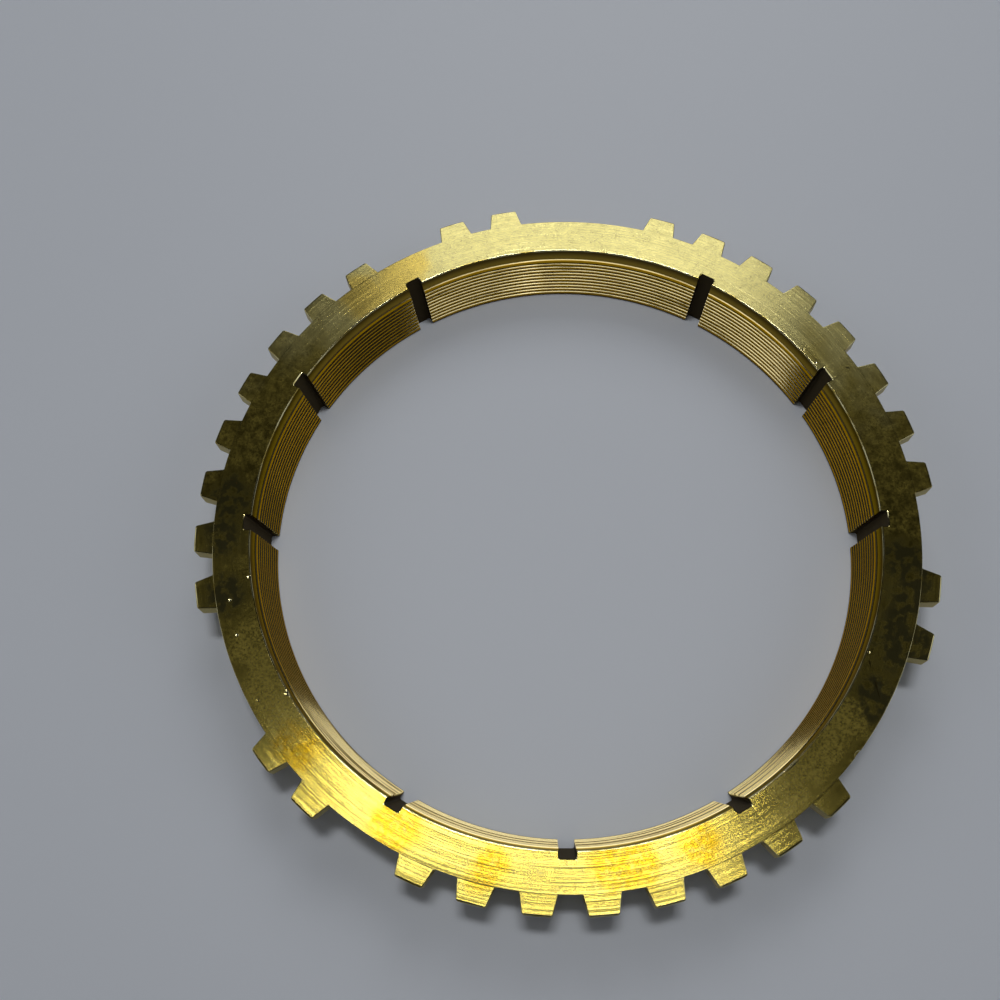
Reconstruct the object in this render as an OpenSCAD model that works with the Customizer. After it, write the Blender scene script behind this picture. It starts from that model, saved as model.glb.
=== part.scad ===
// Synchronizer ring of a truck gearbox: one turned brass piece. A grooved friction cone is
// turned inside it, and dog teeth with pointed hub-side ends stand around its flange.
// The ring's axis is Z. The hub-side end stands on Z = 0 and the flange face looks up.
// The first key slot is centred on +Y.

/* [Cone] */
// Height of the ring, from its hub-side end to the flange face
height = 11.1; // [10:0.1:14]
// Diameter of the friction cone at the hub-side end, its small end
cone_d = 97.2; // [80:0.1:120]
// Angle of the friction cone to the axis
cone_angle = 10.5; // [6:0.1:13]
// Height of the plain relief band under the flange face
relief_h = 2.2; // [1:0.1:2.4]
// Step from the relief band in to the friction cone
relief_step = 0.2; // [0.1:0.05:0.5]

/* [Grooves] */
// Number of ring grooves in the friction cone
groove_count = 10; // [4:1:10]
// Spacing of the grooves along the axis
groove_pitch = 0.79; // [0.6:0.01:0.8]
// Width of the flat crest between two grooves
crest_w = 0.22; // [0.1:0.01:0.3]
// Width of the flat at the bottom of a groove
groove_root_w = 0.1; // [0.05:0.01:0.15]
// Depth of a groove, square to the cone
groove_depth = 0.4; // [0.2:0.01:0.5]
// Height of the plain land between the hub-side end and the first groove
land_h = 0.7; // [0.4:0.05:0.8]

/* [Body] */
// Thickness of the wall at the hub-side end
body_wall = 5.1; // [4.5:0.1:5.6]
// Chamfer around the outside of the hub-side end
body_chamfer = 0.8; // [0.3:0.1:1.2]
// Radius of the fillet between the body and the flange
neck_fillet = 1; // [0.4:0.1:1.5]
// Edge break at the mouth and at the small end of the cone
edge_break = 0.25; // [0.1:0.05:0.3]

/* [Flange] */
// Width of the flange face, from the mouth to the tooth roots
flange_w = 6.05; // [5.6:0.05:8]
// Thickness of the flange
flange_t = 4.7; // [4.6:0.1:6]

/* [Teeth] */
// Number of places on the tooth circle, a multiple of three
tooth_places = 39; // [33:3:42]
// Height of a tooth, from its root to its tip
tooth_h = 3.1; // [2:0.1:4]
// Width of a tooth at its root
tooth_w = 5.7; // [4:0.1:6]
// Angle of a tooth's flank to its centre line
flank_angle = 11.6; // [5:0.1:15]
// Length of a tooth along the axis, with its pointed end
tooth_len = 4.4; // [3.5:0.1:4.5]
// Angle between the two faces of a tooth's pointed end
point_angle = 115; // [100:1:130]
// Drop from the flange face to the end faces of the teeth
tooth_drop = 0.1; // [0.05:0.01:0.2]
// Radius of the fillet at a tooth's root
root_fillet = 0.35; // [0.2:0.05:0.6]
// Chamfer on the corners and the top edge of a tooth's tip
tip_chamfer = 0.35; // [0.1:0.05:0.6]

/* [Slots] */
// Width of an oil slot
slot_w = 2.6; // [1.5:0.1:4]
// Depth of an oil slot, square to the axis
slot_depth = 1.35; // [0.8:0.05:1.6]
// Places for oil slots in each third of the ring, the first of them left solid at the key slot
slot_places = 4; // [3:1:5]
// Turn of the first of those places from the middle of the key slot
slot_turn = 4.3; // [0:0.1:6]
// Width of a key slot
key_w = 12; // [8:0.5:16]
// Depth of a key slot into the body
key_depth = 2; // [1:0.1:2.4]

/* [Hidden] */
$fn = 240;
brass = [0.80, 0.66, 0.26];
thirds = 3;
first_key = 90;
clear = 1;
arc_steps = 4;

// Radii and heights of the turned form
small_r = cone_d / 2;
mouth_r = cone_r(height) + relief_step;
body_r = small_r + body_wall;
root_r = mouth_r + flange_w;
tip_r = root_r + tooth_h;
under_z = height - flange_t;
ledge_z = height - relief_h;
tooth_top = height - tooth_drop;
tooth_tip_z = tooth_top - tooth_len;

// Angles between neighbours in the patterns
third_turn = 360 / thirds;
tooth_run = tooth_places / thirds;
tooth_turn = 360 / tooth_places;
slot_step = third_turn / slot_places;

// Tooth places of each third that stay empty: beside the key slot, and one by itself
lone_gap = 3;
empty_places = [0, lone_gap, tooth_run - 1];

// Radius of the friction cone at a height
function cone_r(z) = small_r + z * tan(cone_angle);

// Points on an arc of radius r about c, from angle a to angle b
function arc(c, r, a, b) = [
    for (i = [0 : arc_steps])
        let (turn = a + (b - a) * i / arc_steps)
        c + r * [cos(turn), sin(turn)]
];

// The points of an outline's first half in reverse, on the other side of the X axis
function mirrored(points) =
    [for (i = [len(points) - 1 : -1 : 0]) [points[i][0], -points[i][1]]];

// The four corners of the ring groove whose lower lip is at a height
function groove_corners(low_lip) =
    let (high_lip = low_lip + groove_pitch - crest_w)
    let (middle = (low_lip + high_lip) / 2)
    let (floor_r = cone_r(middle) + groove_depth * cos(cone_angle))
    let (floor_z = middle - groove_depth * sin(cone_angle))
    let (half_w = groove_root_w / 2)
    [
        [cone_r(low_lip), low_lip],
        [floor_r - half_w * tan(cone_angle), floor_z - half_w],
        [floor_r + half_w * tan(cone_angle), floor_z + half_w],
        [cone_r(high_lip), high_lip]
    ];

// The turned section: up the friction cone, across the flange face and down the outside
module ring_section() {
    grooves = [
        for (i = [0 : groove_count - 1])
            for (corner = groove_corners(land_h + i * groove_pitch))
                corner
    ];
    neck = [body_r + neck_fillet, under_z - neck_fillet];
    polygon(concat(
        [
            [small_r + edge_break, 0],
            [cone_r(edge_break), edge_break]
        ],
        grooves,
        [
            [cone_r(ledge_z), ledge_z],
            [cone_r(ledge_z) + relief_step, ledge_z + relief_step / 2],
            [mouth_r - edge_break * tan(cone_angle), height - edge_break],
            [mouth_r + edge_break, height],
            [root_r, height],
            [root_r, under_z]
        ],
        arc(neck, neck_fillet, 90, 180),
        [
            [body_r, body_chamfer],
            [body_r - body_chamfer, 0]
        ]
    ));
}

// A tooth seen along the ring's axis, pointing along +X, with its base sunk in the flange
module tooth_plan() {
    half_w = tooth_w / 2;
    root_x = sqrt(root_r ^ 2 - (half_w + root_fillet) ^ 2);
    fillet_c = [root_x + root_fillet, half_w + root_fillet * (1 - sin(flank_angle)) / cos(flank_angle)];
    cut_x = tip_r - tip_chamfer;
    cut_y = half_w - (cut_x - root_x) * tan(flank_angle);
    reach = tip_chamfer + clear;
    half = concat(
        [[root_r - clear, fillet_c[1]]],
        arc(fillet_c, root_fillet, 180, 270 - flank_angle),
        [
            [cut_x, cut_y],
            [cut_x + reach, cut_y - reach]
        ]
    );
    polygon(concat(half, mirrored(half)));
}

// A tooth seen along its radius: square at the flange face, pointed towards the hub
module tooth_front() {
    reach = tooth_w / 2 + 2 * root_fillet;
    shoulder = tooth_tip_z + reach / tan(point_angle / 2);
    polygon([
        [0, tooth_tip_z],
        [reach, shoulder],
        [reach, tooth_top],
        [-reach, tooth_top],
        [-reach, shoulder]
    ]);
}

module tooth() {
    intersection() {
        linear_extrude(height + clear) tooth_plan();
        rotate([90, 0, 90]) linear_extrude(tip_r + clear) tooth_front();
    }
}

// The turned outside of the tooth row, with its chamfered top edge
module tooth_blank() {
    rotate_extrude() polygon([
        [root_r - 2 * clear, tooth_tip_z - clear],
        [tip_r, tooth_tip_z - clear],
        [tip_r, tooth_top - tip_chamfer],
        [tip_r - tip_chamfer - clear, tooth_top + clear],
        [root_r - 2 * clear, tooth_top + clear]
    ]);
}

module teeth() {
    intersection() {
        tooth_blank();
        for (third = [0 : thirds - 1])
            for (place = [0 : tooth_run - 1])
                if (len(search(place, empty_places)) == 0)
                    rotate(first_key + third * third_turn + (place + 0.5) * tooth_turn) tooth();
    }
}

// An oil slot along the cone, cut through the flange face and the hub-side end
module oil_slot() {
    low = -clear;
    high = height + clear;
    rotate([90, 0, 0]) linear_extrude(slot_w, center = true) polygon([
        [small_r - 2 * clear, low],
        [cone_r(low) + slot_depth, low],
        [cone_r(high) + slot_depth, high],
        [small_r - 2 * clear, high]
    ]);
}

module oil_slots() {
    for (third = [0 : thirds - 1])
        for (place = [1 : slot_places - 1])
            rotate(first_key + third * third_turn + slot_turn + place * slot_step) oil_slot();
}

// Flat-bottomed recesses for the shift keys, from the hub-side end up to the flange
module key_slots() {
    for (third = [0 : thirds - 1])
        rotate(first_key + third * third_turn)
            translate([body_r - key_depth, -key_w / 2, -clear])
                cube([key_depth + neck_fillet + clear, key_w, under_z + clear]);
}

module synchronizer_ring() {
    color(brass) difference() {
        union() {
            rotate_extrude() ring_section();
            teeth();
        }
        oil_slots();
        key_slots();
    }
}

synchronizer_ring();
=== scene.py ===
"""Looks of the brass synchronizer ring: a finely turned mesh, stained metal, floor, light and camera."""
import math

import bmesh
import bpy
from mathutils import Matrix, Vector


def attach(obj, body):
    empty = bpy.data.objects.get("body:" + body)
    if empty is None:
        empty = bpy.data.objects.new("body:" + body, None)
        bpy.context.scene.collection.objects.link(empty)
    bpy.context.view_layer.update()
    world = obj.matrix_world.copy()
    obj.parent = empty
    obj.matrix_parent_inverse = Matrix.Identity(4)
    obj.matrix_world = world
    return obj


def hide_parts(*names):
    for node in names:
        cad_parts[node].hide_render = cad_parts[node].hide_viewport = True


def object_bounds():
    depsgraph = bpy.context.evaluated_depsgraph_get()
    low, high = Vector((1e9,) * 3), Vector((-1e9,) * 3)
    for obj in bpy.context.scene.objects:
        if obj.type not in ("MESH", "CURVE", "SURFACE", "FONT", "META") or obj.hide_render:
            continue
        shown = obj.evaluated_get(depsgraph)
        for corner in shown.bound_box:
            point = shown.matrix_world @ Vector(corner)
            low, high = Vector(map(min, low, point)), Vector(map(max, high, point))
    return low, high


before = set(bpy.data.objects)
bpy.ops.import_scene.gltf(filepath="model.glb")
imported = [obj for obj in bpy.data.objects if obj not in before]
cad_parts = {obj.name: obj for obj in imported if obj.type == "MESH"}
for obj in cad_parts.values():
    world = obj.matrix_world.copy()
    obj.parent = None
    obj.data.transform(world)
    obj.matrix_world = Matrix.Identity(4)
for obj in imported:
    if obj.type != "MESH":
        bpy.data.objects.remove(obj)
cad_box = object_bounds()

# Sizes of the ring in millimetres, with the axis on Z and the hub-side end at Z = 0
MM = 0.001
HEIGHT = cad_box[1].z / MM
TIP_R = -cad_box[0].y / MM
SMALL_R = 48.6
CONE_ANGLE = math.radians(10.5)
CONE_SLOPE = math.tan(CONE_ANGLE)
RELIEF_H = 2.2
RELIEF_STEP = 0.2
GROOVE_COUNT = 10
GROOVE_PITCH = 0.79
CREST_W = 0.22
GROOVE_ROOT_W = 0.1
GROOVE_DEPTH = 0.4
LAND_H = 0.7
BODY_WALL = 5.1
BODY_CHAMFER = 0.8
NECK_FILLET = 1.0
FLANGE_T = 4.7
TOOTH_H = 3.1
BODY_R = SMALL_R + BODY_WALL
ROOT_R = TIP_R - TOOTH_H
UNDER_Z = HEIGHT - FLANGE_T
LEDGE_Z = HEIGHT - RELIEF_H

# Height of the ledge under the relief band, as a share of its step
LEDGE_RISE = 0.38

# Rounding of the turned edges
MOUTH_ROUND = 0.22
RIM_ROUND = 0.08
SOFT_ROUND = 0.25
CREST_ROUND = 0.045

# Share of a groove's lower flank after which it is shaded as a flat face
FLAT_FROM = 0.12

# Teeth: plan, pointed end, rounded edges, and how deep their base is sunk in the flange
TOOTH_PLACES = 39
TOOTH_W = 5.7
FLANK = math.radians(11.6)
TOOTH_DROP = 0.1
TOOTH_LENGTH = 4.4
POINT_ANGLE = math.radians(115)
TOOTH_TOP = HEIGHT - TOOTH_DROP
TOOTH_POINT_Z = TOOTH_TOP - TOOTH_LENGTH
POINT_SLOPE = 1 / math.tan(POINT_ANGLE / 2)
ROOT_FILLET = 0.35
TIP_CORNER = 0.45
TIP_BACK = 0.03
TIP_EDGE = 0.3
FLANK_EDGE = 0.14
TOOTH_SINK = 1.0

# Oil slots and key slots
SLOT_W = 2.6
SLOT_DEPTH = 1.35
SLOT_FLOOR_ROUND = 0.3
SLOT_FLARE = 0.12
SLOT_PLACES = 4
SLOT_TURN = 4.3
KEY_W = 12.0
KEY_DEPTH = 2.0
KEY_OVERCUT = 0.01

# Patterns around the axis, in degrees
THIRDS = 3
FIRST_KEY = 90.0
THIRD_TURN = 360.0 / THIRDS
TOOTH_RUN = TOOTH_PLACES // THIRDS
TOOTH_TURN = 360.0 / TOOTH_PLACES
LONE_GAP = 3
EMPTY_PLACES = (0, LONE_GAP, TOOTH_RUN - 1)

# Fineness of the mesh, and how far a cutting form reaches past what it cuts
SEGMENTS = 600
ROUND_STEPS = 3
FILLET_STEPS = 4
MITRE_LIMIT = 0.5
CLEAR = 1.0
SHARP_ANGLE = math.radians(35)
FLAT_WEIGHT = 100

# Camera in millimetres: where it stands, what it looks at, and what is up in its picture
CAMERA_AT = (0.459, -58.92, 177.75)
CAMERA_AIM = (-10.41, 2.80, 11.1)
CAMERA_UP = (-0.06402, 0.93445, 0.35027)
CAMERA_LENS = 39.33
SENSOR = 36.0
CLIP_START = 0.01
CLIP_END = 20

# Colours of the flange, the body and the worn edges
BRASS = (0.43, 0.345, 0.066, 1)
PALE_BRASS = (0.68, 0.61, 0.24, 1)
OLD_BRASS = (0.38, 0.29, 0.06, 1)
WORN_BRASS = (0.85, 0.79, 0.45, 1)
WARM_BRASS = (0.78, 0.56, 0.09, 1)
GOLD = (0.40, 0.25, 0.005, 1)
DARK = (0.035, 0.035, 0.015, 1)
BROWN = (0.16, 0.09, 0.02, 1)

# Colours of the cone, and its tint where it is seen at a low angle
FLANK_BRASS = (0.74, 0.62, 0.31, 1)
AMBER = (0.78, 0.44, 0.012, 1)
DARK_AMBER = (0.56, 0.31, 0.010, 1)
# Brown of the oil in the groove roots, also used for the painted shade streaks along the front of the
# cone
OIL_AND_SHADE_BROWN = (0.11, 0.062, 0.012, 1)
# Painted shade on the relief band: darkest at its top, lighter towards the ledge
BAND_TOP = (0.08, 0.052, 0.012, 1)
BAND_FOOT = (0.30, 0.20, 0.03, 1)
SLOT_BROWN = (0.045, 0.032, 0.021, 1)
LOW_ANGLE_TINT = (0.68, 0.55, 0.13, 1)

# Where colours set in on the cone, in millimetres behind its surface
FLANK_STARTS = (0.02, 0.06)
OIL_STARTS = (0.3, 0.38)
SLOT_STARTS = (0.46, 0.62)

# Where colours set in along the axis
BAND_STARTS = (LEDGE_Z + 0.08, LEDGE_Z + 0.16)
BAND_GRADE = (LEDGE_Z + 0.5, HEIGHT - 0.3)
# Where the painted shade at the bottom of the cone wall sets in
FOOT_STARTS = (0.6, 0.3)

# Where colours set in from front to back, and how far clouds sway the pale brass
# Where the paler crests and the painted shade streaks of the cone set in towards its front
CONE_FRONT = (-25.0, -42.0)
PALE_STARTS = (38.0, 62.0)
PALE_SWAY = 40.0

# Stains and duller places on the flange face, the dark ones partly painted shade where the flange's two
# sides are darkest: angle in degrees, radius and width in millimetres
WARM_STAINS = [(126, 54, 8), (133, 55, 6)]
DULL_PLACES = [(207, 53, 6), (214, 53, 7), (221, 53, 6), (312, 53, 6), (319, 53, 7), (327, 52, 5)]
GOLD_STAINS = [(246, 53, 6), (226, 54, 5), (283, 53, 6), (295, 53, 5), (262, 55, 4)]
STAINS_AND_SIDE_SHADE = [
    (357, 55, 6), (349, 56, 7), (342, 56, 7), (333, 55, 5), (180, 55, 6), (187, 55, 6), (197, 55, 5),
]

# Nicks in the flange face: angle, radius and width
NICKS = [
    (194.8, 51.2, 0.6), (198.2, 54.6, 0.55), (204.4, 54.7, 0.55), (217.5, 51.2, 0.75),
    (215.9, 55.4, 0.55), (339.3, 51.3, 0.5), (40.8, 51.3, 0.5), (37.3, 51.4, 0.5),
]
NICK_DEPTH = 0.1
NICK_FINENESS = 4

# Scratches in the flange face: angle and radius of both ends, and width
SCRATCHES = [
    ((338.2, 51.7), (336.9, 52.4), 0.30),
    ((336.0, 53.1), (332.8, 55.6), 0.34),
    ((33.9, 55.0), (33.0, 55.8), 0.25),
    ((317.0, 51.2), (313.2, 51.3), 0.22),
]
SCRATCH_SLOPE = 0.2
SCRATCH_WIDEST = 0.4

# The nick in the rim: angle, radius and width, and the share of its width by which its centre is outside
RIM_NICK = (323.7, 56.6, 0.9)
RIM_NICK_OUT = 0.8
RIM_NICK_FINENESS = 3

# Ragged edges of stains, the middle of a noise, and the turn of a sheen across the turning lines
RAGGEDNESS = 1.6
STAIN_EDGE = (0.0, 0.6)
NOISE_MIDDLE = 0.5
QUARTER_TURN = 0.25

# The ring's metals in the order of its material slots
BODY = 0
FLANGE = 1
CONE = 2
WORN_EDGE = 3

# How a face looks that gets one of them: height or outward part of its normal
FLANGE_UP = 0.999
EDGE_UP = 0.3
CONE_OUT = 0.5
CONE_DOWN = -0.95

# Lamps: place and size in metres, power in watts, and turn of the long side from X in degrees
LAMPS = {
    "overhead": ((-0.035, 0.37, 2.0), (0.45, 0.185), 6.95, 0),
    "over_camera": ((-0.09, -0.055, 0.90), (0.42, 0.066), 0.12, -23),
    "over_camera_side": ((0.13, -0.065, 0.90), (0.17, 0.066), 0.04, 17),
    "behind": ((0, 0.55, 0.605), (0.42, 0.25), 0.5, 0),
    "low_behind": ((0, 0.90, 0.60), (0.6, 0.3), 0.8, 0),
    "low_left": ((-0.8, 0, 0.55), (0.5, 0.5), 0.6, 0),
    "low_right": ((0.8, 0, 0.55), (0.5, 0.5), 0.6, 0),
}
SURROUNDING = (0.012, 0.012, 0.0135, 1)

# The floor, with half its side in metres
FLOOR_HALF = 3
FLOOR_COLOUR = (0.82, 0.87, 0.95, 1)
FLOOR_ROUGHNESS = 0.5


def cone_r(z):
    """Radius of the friction cone at height z."""
    return SMALL_R + z * CONE_SLOPE


def rounded(corners):
    """Points of a closed outline whose corners (x, y, radius) are rounded with arcs."""
    points = []
    count = len(corners)
    for i, (x, y, radius) in enumerate(corners):
        if radius == 0:
            points.append((x, y))
            continue
        here = Vector((x, y))
        before = Vector(corners[i - 1][:2]) - here
        after = Vector(corners[(i + 1) % count][:2]) - here
        half = before.angle(after) / 2
        tangent = radius / math.tan(half)
        inwards = (before.normalized() + after.normalized()).normalized()
        centre = here + inwards * (radius / math.sin(half))
        start = here + before.normalized() * tangent - centre
        end = here + after.normalized() * tangent - centre
        sweep = start.angle_signed(end)
        for step in range(ROUND_STEPS + 1):
            turned = Matrix.Rotation(-sweep * step / ROUND_STEPS, 2) @ start
            points.append(tuple(centre + turned))
    return points


def ring_section():
    """Closed outline of the turned section as (radius, height)."""
    corners = [(cone_r(0), 0, SOFT_ROUND)]
    for i in range(GROOVE_COUNT):
        low_lip = LAND_H + i * GROOVE_PITCH
        high_lip = low_lip + GROOVE_PITCH - CREST_W
        middle = (low_lip + high_lip) / 2
        floor_r = cone_r(middle) + GROOVE_DEPTH * math.cos(CONE_ANGLE)
        floor_z = middle - GROOVE_DEPTH * math.sin(CONE_ANGLE)
        half_w = GROOVE_ROOT_W / 2
        lip = Vector((cone_r(low_lip), low_lip))
        root = Vector((floor_r - half_w * CONE_SLOPE, floor_z - half_w))
        corners += [
            (lip.x, lip.y, CREST_ROUND),
            (*lip.lerp(root, FLAT_FROM), 0),
            (root.x, root.y, 0),
            (floor_r + half_w * CONE_SLOPE, floor_z + half_w, 0),
            (cone_r(high_lip), high_lip, CREST_ROUND),
        ]
    corners += [
        (cone_r(LEDGE_Z), LEDGE_Z, 0),
        (cone_r(LEDGE_Z) + RELIEF_STEP, LEDGE_Z + RELIEF_STEP * LEDGE_RISE, 0),
        (cone_r(HEIGHT) + RELIEF_STEP, HEIGHT, MOUTH_ROUND),
        (ROOT_R, HEIGHT, RIM_ROUND),
        (ROOT_R, UNDER_Z, SOFT_ROUND),
        (BODY_R, UNDER_Z, NECK_FILLET),
        (BODY_R, BODY_CHAMFER, SOFT_ROUND),
        (BODY_R - BODY_CHAMFER, 0, SOFT_ROUND),
    ]
    return rounded(corners)


def bridge(bm, loops):
    """Faces between each closed loop of vertices and the next."""
    for first, second in zip(loops, loops[1:]):
        count = len(first)
        for i in range(count):
            j = (i + 1) % count
            bm.faces.new((first[i], first[j], second[j], second[i]))


def mesh_object(name, bm):
    """A new object that holds the faces of bm, with their normals outwards."""
    bmesh.ops.recalc_face_normals(bm, faces=bm.faces)
    mesh = bpy.data.meshes.new(name)
    bm.to_mesh(mesh)
    bm.free()
    made = bpy.data.objects.new(name, mesh)
    bpy.context.scene.collection.objects.link(made)
    return made


def turned_blank():
    """The ring as it leaves the lathe."""
    bm = bmesh.new()
    section = ring_section()
    rings = []
    for i in range(SEGMENTS):
        turn = 2 * math.pi * i / SEGMENTS
        rings.append([bm.verts.new((r * math.cos(turn), r * math.sin(turn), z)) for r, z in section])
    bridge(bm, rings + rings[:1])
    return mesh_object("ring", bm)


def tooth_half():
    """Half of a tooth seen along the axis, from base to tip: (x, y, round of the top edge)."""
    half_w = TOOTH_W / 2
    root_x = math.sqrt(ROOT_R ** 2 - (half_w + ROOT_FILLET) ** 2)
    fillet_y = half_w + ROOT_FILLET * (1 - math.sin(FLANK)) / math.cos(FLANK)
    points = [(ROOT_R - TOOTH_SINK, fillet_y, FLANK_EDGE)]
    for i in range(FILLET_STEPS + 1):
        turn = math.pi + (math.pi / 2 - FLANK) * i / FILLET_STEPS
        x = root_x + ROOT_FILLET * (1 + math.cos(turn))
        y = fillet_y + ROOT_FILLET * math.sin(turn)
        points.append((x, y, FLANK_EDGE))
    corner_x = TIP_R - TIP_CORNER - TIP_BACK
    corner_y = half_w - (TIP_CORNER + (corner_x - root_x) * math.sin(FLANK)) / math.cos(FLANK)
    for i in range(FILLET_STEPS + 1):
        share = i / FILLET_STEPS
        turn = (math.pi / 2 - FLANK) * (1 - share)
        x = corner_x + TIP_CORNER * math.cos(turn)
        y = corner_y + TIP_CORNER * math.sin(turn)
        points.append((x, y, FLANK_EDGE + (TIP_EDGE - FLANK_EDGE) * share))
    tip_y = points[-1][1]
    for i in range(1, FILLET_STEPS):
        y = tip_y * (1 - i / FILLET_STEPS)
        points.append((math.sqrt(TIP_R ** 2 - y ** 2), y, TIP_EDGE))
    return points


def tooth_outline():
    """The whole outline of a tooth, with a point on its centre line at the tip and one at the base."""
    half = tooth_half()
    other = [(x, -y, edge) for x, y, edge in reversed(half)]
    return [(ROOT_R - TOOTH_SINK, 0.0, FLANK_EDGE)] + half + [(TIP_R, 0.0, TIP_EDGE)] + other


def inset(outline, share):
    """The outline moved inwards by that share of each point's edge width."""
    moved = []
    count = len(outline)
    for i, (x, y, edge) in enumerate(outline):
        before = (Vector((x, y)) - Vector(outline[i - 1][:2])).normalized()
        after = (Vector(outline[(i + 1) % count][:2]) - Vector((x, y))).normalized()
        along = (before + after).normalized()
        inwards = Vector((along.y, -along.x))
        moved.append(Vector((x, y)) + inwards * (edge * share / max(MITRE_LIMIT, along.dot(before))))
    return moved


def add_tooth(bm, turn, outline):
    """One tooth with a rounded top edge and a pointed hub-side end, at an angle in degrees."""
    levels = []
    for i in range(ROUND_STEPS + 1):
        roll = math.pi / 2 * i / ROUND_STEPS
        level = []
        for point, (_, _, edge) in zip(inset(outline, 1 - math.sin(roll)), outline):
            level.append(Vector((point.x, point.y, TOOTH_TOP - edge * (1 - math.cos(roll)))))
        levels.append(level)
    levels.append([Vector((x, y, TOOTH_POINT_Z + abs(y) * POINT_SLOPE)) for x, y, _ in outline])
    place = Matrix.Rotation(math.radians(turn), 3, "Z")
    loops = [[bm.verts.new(place @ point) for point in level] for level in levels]
    bridge(bm, loops)
    bm.faces.new(loops[0])
    tip = len(outline) // 2
    bm.faces.new(loops[-1][:tip + 1])
    bm.faces.new(loops[-1][tip:] + loops[-1][:1])


def all_teeth():
    """The teeth, left out where the ring has none."""
    bm = bmesh.new()
    outline = tooth_outline()
    for third in range(THIRDS):
        for place in range(TOOTH_RUN):
            if place not in EMPTY_PLACES:
                add_tooth(bm, FIRST_KEY + third * THIRD_TURN + (place + 0.5) * TOOTH_TURN, outline)
    return mesh_object("teeth", bm)


def slot_outline(grown):
    """An oil slot seen along the axis, grown by that width: (depth behind the cone, y)."""
    half_w = SLOT_W / 2 + grown
    floor = SLOT_DEPTH + grown
    half = [
        (-2 * CLEAR, half_w + SLOT_FLARE),
        (-SLOT_FLARE / 2, half_w + SLOT_FLARE),
        (SLOT_FLARE / 2, half_w),
    ]
    for i in range(ROUND_STEPS + 1):
        roll = math.pi / 2 * i / ROUND_STEPS
        depth = floor - SLOT_FLOOR_ROUND * (1 - math.sin(roll))
        y = half_w - SLOT_FLOOR_ROUND * (1 - math.cos(roll))
        half.append((depth, y))
    return half + [(depth, -y) for depth, y in reversed(half)]


def add_slot(bm, turn):
    """The space of one oil slot along the cone, a little flared at the cone and at both ends."""
    levels = [
        (-CLEAR, SLOT_FLARE),
        (0, SLOT_FLARE),
        (SLOT_FLARE, 0),
        (HEIGHT - SLOT_FLARE, 0),
        (HEIGHT, SLOT_FLARE),
        (HEIGHT + CLEAR, SLOT_FLARE),
    ]
    place = Matrix.Rotation(math.radians(turn), 3, "Z")
    loops = []
    for z, grown in levels:
        points = [Vector((cone_r(z) + depth, y, z)) for depth, y in slot_outline(grown)]
        loops.append([bm.verts.new(place @ point) for point in points])
    bridge(bm, loops)
    bm.faces.new(loops[0])
    bm.faces.new(loops[-1])


def add_key_slot(bm, turn):
    """The space of one flat-bottomed key slot, from the hub-side end up to the flange."""
    low = Vector((BODY_R - KEY_DEPTH, -KEY_W / 2, -CLEAR))
    high = Vector((BODY_R + NECK_FILLET + CLEAR, KEY_W / 2, UNDER_Z + KEY_OVERCUT))
    box = Matrix.Translation((low + high) / 2) @ Matrix.Diagonal((*(high - low), 1))
    turned = Matrix.Rotation(math.radians(turn), 4, "Z")
    bmesh.ops.create_cube(bm, size=1, matrix=turned @ box)


def all_slots():
    """The spaces of the oil slots and of the key slots."""
    bm = bmesh.new()
    for third in range(THIRDS):
        key = FIRST_KEY + third * THIRD_TURN
        add_key_slot(bm, key)
        for place in range(1, SLOT_PLACES):
            add_slot(bm, key + SLOT_TURN + place * THIRD_TURN / SLOT_PLACES)
    return mesh_object("slots", bm)


def on_face(angle, radius, z=HEIGHT):
    """A point over the flange, on its face unless another height is given."""
    turn = math.radians(angle)
    return Vector((radius * math.cos(turn), radius * math.sin(turn), z))


def add_nick(bm, angle, radius, width):
    """The space of a shallow round nick in the flange face."""
    depth = NICK_DEPTH * width
    bowl = (width ** 2 / 4 + depth ** 2) / (2 * depth)
    place = Matrix.Translation(on_face(angle, radius, HEIGHT + bowl - depth))
    bmesh.ops.create_icosphere(bm, subdivisions=NICK_FINENESS, radius=bowl, matrix=place)


def add_rim_nick(bm, angle, radius, width):
    """The space of a round nick in the rim of the flange."""
    place = Matrix.Translation(on_face(angle, radius + width * RIM_NICK_OUT))
    bmesh.ops.create_icosphere(bm, subdivisions=RIM_NICK_FINENESS, radius=width, matrix=place)


def add_scratch(bm, start, end, width):
    """The space of a shallow scratch with a sharp lower edge, between two points of the face."""
    start = on_face(*start)
    end = on_face(*end)
    along = end - start
    side = Vector((-along.y, along.x, 0)).normalized() * (width / 2)
    drop = Vector((0, 0, SCRATCH_SLOPE * width / 2))
    above = Vector((0, 0, CLEAR))
    middle = start + along * SCRATCH_WIDEST
    left = bm.verts.new(middle + side)
    right = bm.verts.new(middle - side)
    first = bm.verts.new(start)
    last = bm.verts.new(end)
    bottom = bm.verts.new(middle - drop)
    top = bm.verts.new(middle + above)
    for pole in (bottom, top):
        for a, b in ((first, left), (left, last), (last, right), (right, first)):
            bm.faces.new((a, b, pole))


def all_marks():
    """The spaces of the nicks and scratches."""
    bm = bmesh.new()
    for nick in NICKS:
        add_nick(bm, *nick)
    for scratch in SCRATCHES:
        add_scratch(bm, *scratch)
    add_rim_nick(bm, *RIM_NICK)
    return mesh_object("marks", bm)


def applied(piece):
    """A mesh of the piece with its modifiers applied."""
    bpy.context.view_layer.update()
    return bpy.data.meshes.new_from_object(piece.evaluated_get(bpy.context.evaluated_depsgraph_get()))


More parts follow.
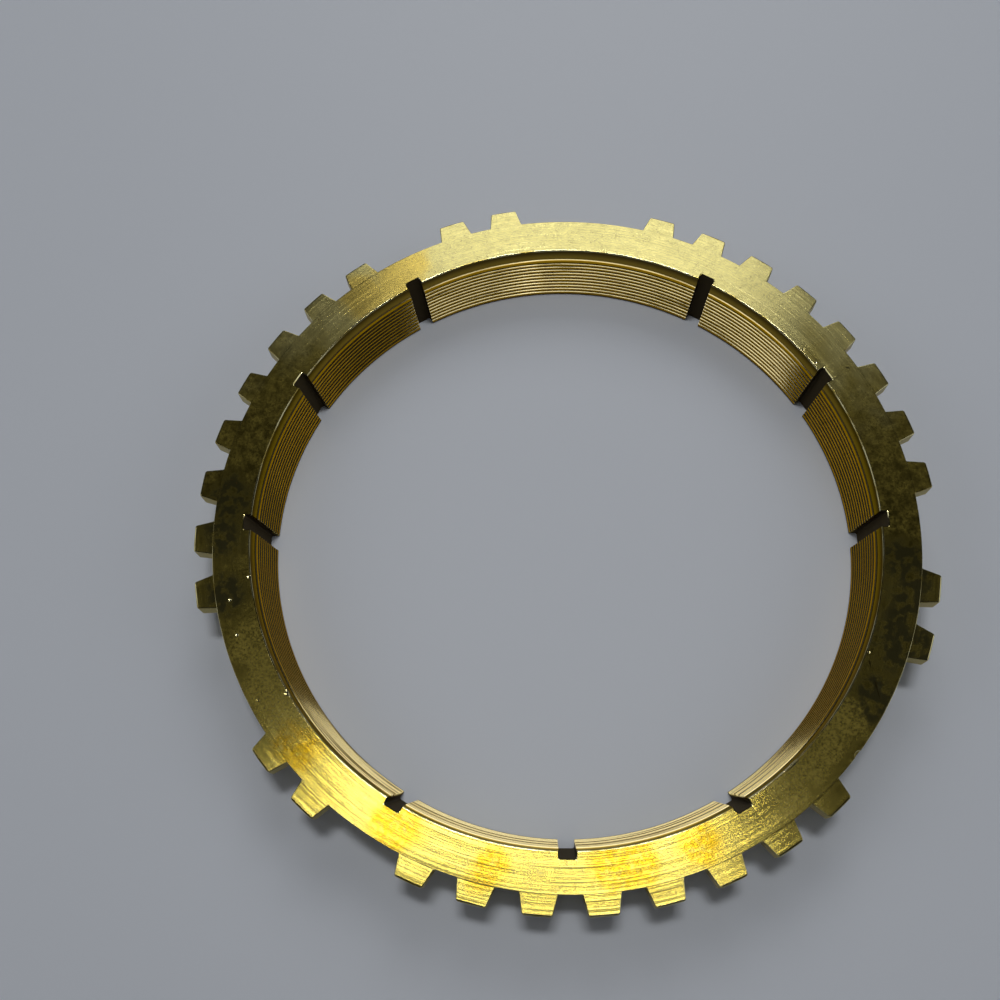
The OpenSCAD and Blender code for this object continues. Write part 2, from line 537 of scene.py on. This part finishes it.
def cut_and_join(blank, teeth, slots, marks):
    """The blank with its teeth joined and its slots and marks cut, as one closed mesh in metres."""
    for operation, tool in (("UNION", teeth), ("DIFFERENCE", slots), ("DIFFERENCE", marks)):
        step = blank.modifiers.new(operation, "BOOLEAN")
        step.operation = operation
        step.solver = "MANIFOLD"
        step.object = tool
    done = applied(blank)
    for used in (blank, teeth, slots, marks):
        bpy.data.objects.remove(used)
    done.transform(Matrix.Scale(MM, 4))
    done.shade_smooth()
    done.set_sharp_from_angle(angle=SHARP_ANGLE)
    made = bpy.data.objects.new("turned_ring", done)
    bpy.context.scene.collection.objects.link(made)
    return flat_shaded(made)


def flat_shaded(piece):
    """The piece with its normals led by its large faces, so that flat faces look flat."""
    step = piece.modifiers.new("flat_faces", "WEIGHTED_NORMAL")
    step.keep_sharp = True
    step.weight = FLAT_WEIGHT
    shaded = applied(piece)
    piece.modifiers.clear()
    piece.data = shaded
    return piece


class Painter:
    """Short calls that add nodes to one metal's material; lengths are in millimetres."""

    # Places of the colour sockets on a Mix node
    MIX_SHARE = 0
    MIX_FIRST = 6
    MIX_SECOND = 7
    MIX_RESULT = 2

    def __init__(self, name):
        self.material = bpy.data.materials.new(name)
        self.material.use_nodes = True
        self.tree = self.material.node_tree
        self.shader = self.tree.nodes["Principled BSDF"]
        self.feed("Metallic", 1)
        coordinates = self.tree.nodes.new("ShaderNodeTexCoord").outputs["Object"]
        self.place = self.vector("SCALE", coordinates, scale=1 / MM)
        apart = self.node("SeparateXYZ", self.place)
        self.y = apart.outputs["Y"]
        self.z = apart.outputs["Z"]
        flat = self.node("CombineXYZ", apart.outputs["X"], apart.outputs["Y"]).outputs[0]
        self.r = self.vector("LENGTH", flat)
        self.around = self.vector("NORMALIZE", flat)

    def put(self, socket, value):
        """Link a socket to an output, or set it to a plain number or colour."""
        if isinstance(value, bpy.types.NodeSocket):
            self.tree.links.new(value, socket)
        else:
            socket.default_value = value

    def feed(self, name, value):
        """Link or set one of the shader's own sockets."""
        self.put(self.shader.inputs[name], value)

    def node(self, kind, *values, **settings):
        """A new node with its settings, its first sockets linked or set."""
        made = self.tree.nodes.new("ShaderNode" + kind)
        for name, setting in settings.items():
            setattr(made, name, setting)
        for socket, value in zip(made.inputs, values):
            self.put(socket, value)
        return made

    def number(self, operation, *values):
        """The result of a Math node."""
        return self.node("Math", *values, operation=operation).outputs[0]

    def times(self, value, factor):
        """The value times a factor."""
        return self.number("MULTIPLY", value, factor)

    def rising(self, value, rise, start):
        """The start, plus the rise times the value."""
        return self.number("MULTIPLY_ADD", value, rise, start)

    def larger(self, first, second):
        """The larger one of two values."""
        return self.number("MAXIMUM", first, second)

    def vector(self, operation, *values, scale=None):
        """The result of a Vector Math node."""
        made = self.node("VectorMath", *values, operation=operation)
        if scale is not None:
            self.put(made.inputs["Scale"], scale)
        return made.outputs["Value" if operation == "LENGTH" else "Vector"]

    def noise(self, size, detail=2.0, seed=0.0, place=None):
        """Noise from 0 to 1 with features of about that size."""
        made = self.node("TexNoise", noise_dimensions="4D")
        self.put(made.inputs["Vector"], self.place if place is None else place)
        self.put(made.inputs["W"], seed)
        self.put(made.inputs["Scale"], 1 / size)
        self.put(made.inputs["Detail"], detail)
        return made.outputs["Fac"]

    def turned(self, long, wide, seed):
        """Noise in streaks along the turning direction, of that length and width."""
        along = self.vector("SCALE", self.around, scale=BODY_R / long)
        across = self.number("DIVIDE", self.number("ADD", self.r, self.z), wide)
        place = self.vector("ADD", along, self.node("CombineXYZ", 0.0, 0.0, across).outputs[0])
        return self.noise(size=1, seed=seed, place=place)

    def smooth(self, value, low, high):
        """0 on the side of low, 1 on the side of high, and a smooth rise between them."""
        made = self.node("MapRange", value, low, high, interpolation_type="SMOOTHSTEP")
        return made.outputs[0]

    def mix(self, share, first, second):
        """The first colour, with that share of the second one."""
        made = self.node("Mix", data_type="RGBA")
        self.put(made.inputs[self.MIX_SHARE], share)
        self.put(made.inputs[self.MIX_FIRST], first)
        self.put(made.inputs[self.MIX_SECOND], second)
        return made.outputs[self.MIX_RESULT]

    def cover(self, under, over, mask, strength):
        """The colour under, covered by the colour over where the mask is 1, at that strength."""
        return self.mix(self.times(mask, strength), under, over)

    def stains(self, places, edge):
        """1 within the places (angle, radius, width), 0 elsewhere, with edges made ragged by a noise."""
        total = None
        for angle, radius, width in places:
            away = self.vector("LENGTH", self.vector("SUBTRACT", self.place, on_face(angle, radius)))
            near = self.number("SUBTRACT", 1.0, self.number("DIVIDE", away, width))
            total = near if total is None else self.larger(total, near)
        ragged = self.number("ADD", total, self.slope(edge, RAGGEDNESS))
        return self.smooth(ragged, *STAIN_EDGE)

    def turning_sheen(self, roughness, anisotropy):
        """Reflections drawn out across the turning lines."""
        self.feed("Anisotropic", anisotropy)
        self.feed("Anisotropic Rotation", QUARTER_TURN)
        self.feed("Tangent", self.node("Tangent", direction_type="RADIAL", axis="Z").outputs[0])
        self.feed("Roughness", roughness)

    def lined_normal(self, across, along):
        """The surface's normal, tilted across the turning lines and along them by those slopes."""
        normal = self.node("NewGeometry").outputs["Normal"]
        line = self.vector("CROSS_PRODUCT", (0, 0, 1), self.around)
        to_world = {"vector_type": "VECTOR", "convert_from": "OBJECT", "convert_to": "WORLD"}
        line = self.node("VectorTransform", line, **to_world).outputs[0]
        side = self.vector("CROSS_PRODUCT", line, normal)
        tilted = self.vector("ADD", normal, self.vector("SCALE", side, scale=across))
        tilted = self.vector("ADD", tilted, self.vector("SCALE", line, scale=along))
        return self.vector("NORMALIZE", tilted)

    def slope(self, noise, steepness):
        """A slope to either side from a noise that runs from 0 to 1."""
        return self.times(self.number("SUBTRACT", noise, NOISE_MIDDLE), steepness)

    def relief(self, height, depth, normal):
        """Bump of that depth over a lined normal."""
        bump = self.node("Bump")
        self.put(bump.inputs["Height"], height)
        self.put(bump.inputs["Strength"], 1.0)
        self.put(bump.inputs["Distance"], depth * MM)
        self.put(bump.inputs["Normal"], normal)
        self.feed("Normal", bump.outputs[0])


def flange_material():
    """The turned and used flange face, with warm and golden stains, dark stains that are partly painted
    shade on its two sides, specks and tarnish.
    """
    paint = Painter("flange_face")
    fine = paint.turned(long=25, wide=0.05, seed=1)
    broad = paint.turned(long=30, wide=0.5, seed=2)
    cloud = paint.noise(size=6, detail=5, seed=3)
    grain = paint.noise(size=0.5, detail=4, seed=4)
    mottle = paint.noise(size=1.3, detail=6, seed=5)

    backwards = paint.rising(cloud, rise=PALE_SWAY, start=paint.y)
    colour = paint.mix(paint.smooth(backwards, *PALE_STARTS), BRASS, PALE_BRASS)
    streaks = paint.smooth(broad, low=0.5, high=0.75)
    colour = paint.cover(colour, OLD_BRASS, streaks, strength=0.12)
    dust = paint.smooth(paint.noise(size=0.3, detail=3, seed=9), low=0.45, high=0.7)
    colour = paint.cover(colour, BROWN, dust, strength=0.25)
    colour = paint.cover(colour, WARM_BRASS, paint.stains(WARM_STAINS, cloud), strength=0.7)
    flecks = paint.smooth(paint.noise(size=0.6, detail=4, seed=8), low=0.2, high=0.6)
    gold = paint.times(paint.stains(GOLD_STAINS, cloud), paint.smooth(mottle, low=0.15, high=0.5))
    colour = paint.cover(colour, GOLD, gold, strength=flecks)
    # Dark mottled patches on both sides of the flange: partly stains, partly painted shade where the
    # flange is darkest.
    dark = paint.times(paint.stains(STAINS_AND_SIDE_SHADE, cloud), paint.smooth(mottle, low=0.3, high=0.55))
    colour = paint.cover(colour, DARK, dark, strength=0.9)
    specks = paint.smooth(paint.noise(size=0.4, detail=1, seed=6), low=0.7, high=0.75)
    colour = paint.cover(colour, BROWN, specks, strength=0.7)
    paint.feed("Base Color", colour)

    paint.turning_sheen(paint.rising(grain, rise=0.03, start=0.145), anisotropy=1.0)
    lines = paint.number("ADD", paint.slope(fine, steepness=0.7), paint.slope(broad, steepness=0.02))
    sparkle = paint.slope(paint.noise(size=0.2, detail=1, seed=7), steepness=0.01)
    paint.feed("Normal", paint.lined_normal(lines, sparkle))

    all_over = paint.times(paint.smooth(mottle, low=0.3, high=0.65), factor=0.3)
    in_places = paint.times(paint.stains(DULL_PLACES, cloud), factor=0.55)
    film = paint.smooth(paint.noise(size=0.35, detail=4, seed=10), low=0.25, high=0.65)
    tarnish = paint.times(paint.larger(all_over, in_places), film)
    dull = paint.larger(tarnish, paint.times(dark, factor=0.4))
    paint.feed("Metallic", paint.number("SUBTRACT", 1.0, dull))
    return paint.material


def cone_material():
    """The friction cone, the relief band over it and the oil slots, browned by oil in the grooves and
    slots, with painted shade on the band, at the bottom of the wall and in streaks along the front.
    """
    paint = Painter("friction_cone")
    behind = paint.number("SUBTRACT", paint.r, paint.rising(paint.z, rise=CONE_SLOPE, start=SMALL_R))
    fine = paint.turned(long=20, wide=0.06, seed=11)
    patch = paint.noise(size=5, detail=4, seed=12)
    front = paint.smooth(paint.y, *CONE_FRONT)

    # Towards the front the crests are painted paler, to set the tone of the low-angle reflection there:
    # a painted reflection tone.
    crest = paint.mix(front, paint.mix(patch, AMBER, DARK_AMBER), FLANK_BRASS)
    colour = paint.mix(paint.smooth(behind, *FLANK_STARTS), crest, FLANK_BRASS)
    colour = paint.cover(colour, OIL_AND_SHADE_BROWN, paint.smooth(behind, *OIL_STARTS), strength=0.9)
    # Dark streaks along the front of the cone: painted shade standing for the lines of the grooves seen
    # at a low angle there.
    streaks = paint.smooth(paint.turned(long=60, wide=1.2, seed=15), low=0.5, high=0.58)
    colour = paint.cover(colour, OIL_AND_SHADE_BROWN, streaks, strength=front)
    # The relief band is painted dark brown, darkest at its top under the mouth: painted shade.
    band = paint.mix(paint.smooth(paint.z, *BAND_GRADE), BAND_FOOT, BAND_TOP)
    colour = paint.mix(paint.smooth(paint.z, *BAND_STARTS), colour, band)
    # The bottom of the cone wall is painted dark as painted shade where the ring stands on the floor;
    # the oil slots get the same dark brown.
    foot_shade = paint.times(paint.smooth(paint.z, *FOOT_STARTS), factor=0.85)
    deposit_and_foot_shade = paint.larger(paint.smooth(behind, *SLOT_STARTS), foot_shade)
    colour = paint.cover(colour, SLOT_BROWN, deposit_and_foot_shade, strength=0.95)
    paint.feed("Base Color", colour)

    shine = paint.rising(fine, rise=0.04, start=0.08)
    paint.turning_sheen(paint.rising(deposit_and_foot_shade, rise=0.6, start=shine), anisotropy=0.5)
    paint.feed("Specular Tint", LOW_ANGLE_TINT)
    paint.feed("Metallic", paint.rising(deposit_and_foot_shade, rise=-0.9, start=0.93))
    wave = paint.slope(paint.turned(long=6, wide=0.4, seed=14), steepness=0.08)
    paint.feed("Normal", paint.lined_normal(across=wave, along=0.0))
    return paint.material


def worn_edge_material():
    """Edges and nicks that wear has rounded and made bright."""
    paint = Painter("worn_edge")
    cloud = paint.noise(size=3, detail=4, seed=31)
    paint.feed("Base Color", paint.mix(paint.smooth(cloud, low=0.4, high=0.65), WORN_BRASS, OLD_BRASS))
    paint.feed("Roughness", paint.rising(cloud, rise=0.08, start=0.05))
    return paint.material


def body_material():
    """The tooth flanks and the outside of the ring."""
    paint = Painter("outer_body")
    fine = paint.turned(long=9, wide=0.12, seed=21)
    cloud = paint.noise(size=4, detail=5, seed=22)
    grain = paint.noise(size=0.4, detail=3, seed=23)
    colour = paint.mix(paint.smooth(cloud, low=0.3, high=0.7), BRASS, OLD_BRASS)
    streaks = paint.smooth(fine, low=0.5, high=0.75)
    paint.feed("Base Color", paint.cover(colour, BROWN, streaks, strength=0.4))
    paint.turning_sheen(paint.rising(grain, rise=0.2, start=0.22), anisotropy=0.6)
    lined = paint.lined_normal(paint.slope(fine, steepness=0.3), paint.slope(cloud, steepness=0.1))
    paint.relief(grain, depth=0.008, normal=lined)
    return paint.material


def paint_ring(ring):
    """The flange face, the worn edges, the inside and the rest each get their own metal."""
    ring.data.materials.clear()
    for made in (body_material(), flange_material(), cone_material(), worn_edge_material()):
        ring.data.materials.append(made)
    for face in ring.data.polygons:
        centre = face.center / MM
        up = face.normal.z
        radius = math.hypot(centre.x, centre.y)
        outwards = (face.normal.x * centre.x + face.normal.y * centre.y) / radius
        on_top = centre.z > TOOTH_TOP - TIP_EDGE
        inside = radius < cone_r(centre.z) + SLOT_DEPTH + SLOT_FLARE
        if on_top and up > FLANGE_UP:
            face.material_index = FLANGE
        elif on_top and up > EDGE_UP:
            face.material_index = WORN_EDGE
        elif inside and outwards < CONE_OUT and up > CONE_DOWN:
            face.material_index = CONE
        else:
            face.material_index = BODY


def area_lamp(name, at, size, power, turn):
    """A soft rectangular lamp that shines on the ring."""
    data = bpy.data.lights.new(name, "AREA")
    data.shape = "RECTANGLE"
    data.size, data.size_y = size
    data.energy = power
    lamp = bpy.data.objects.new(name, data)
    away = (Vector(at) - Vector((0, 0, HEIGHT * MM))).normalized()
    long_side = Vector((math.cos(math.radians(turn)), math.sin(math.radians(turn)), 0))
    across = away.cross(long_side).normalized()
    axes = Matrix((across.cross(away), across, away)).transposed()
    lamp.matrix_world = Matrix.Translation(at) @ axes.to_4x4()
    bpy.context.scene.collection.objects.link(lamp)


def make_floor():
    """A plain pale floor under the ring."""
    bm = bmesh.new()
    bmesh.ops.create_grid(bm, x_segments=1, y_segments=1, size=FLOOR_HALF)
    floor = mesh_object("floor", bm)
    made = bpy.data.materials.new("floor")
    made.use_nodes = True
    shader = made.node_tree.nodes["Principled BSDF"]
    shader.inputs["Base Color"].default_value = FLOOR_COLOUR
    shader.inputs["Roughness"].default_value = FLOOR_ROUGHNESS
    floor.data.materials.append(made)


def make_light():
    """The soft lamps, and a dim even surrounding."""
    for name, settings in LAMPS.items():
        area_lamp(name, *settings)
    world = bpy.data.worlds.new("surrounding")
    bpy.context.scene.world = world
    world.use_nodes = True
    world.node_tree.nodes["Background"].inputs["Color"].default_value = SURROUNDING


def make_camera():
    """The camera of the photograph."""
    data = bpy.data.cameras.new("camera")
    data.sensor_width = SENSOR
    data.lens = CAMERA_LENS
    data.clip_start = CLIP_START
    data.clip_end = CLIP_END
    camera = bpy.data.objects.new("camera", data)
    at = Vector(CAMERA_AT) * MM
    back = (at - Vector(CAMERA_AIM) * MM).normalized()
    right = Vector(CAMERA_UP).cross(back).normalized()
    up = back.cross(right)
    turn = Matrix((right, up, back)).transposed().to_4x4()
    camera.matrix_world = Matrix.Translation(at) @ turn
    bpy.context.scene.collection.objects.link(camera)
    bpy.context.scene.camera = camera


bpy.context.scene.view_settings.view_transform = "Standard"
ring = cut_and_join(turned_blank(), all_teeth(), all_slots(), all_marks())
paint_ring(ring)
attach(ring, "root")
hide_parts("synchronizer_ring")
make_floor()
make_light()
make_camera()
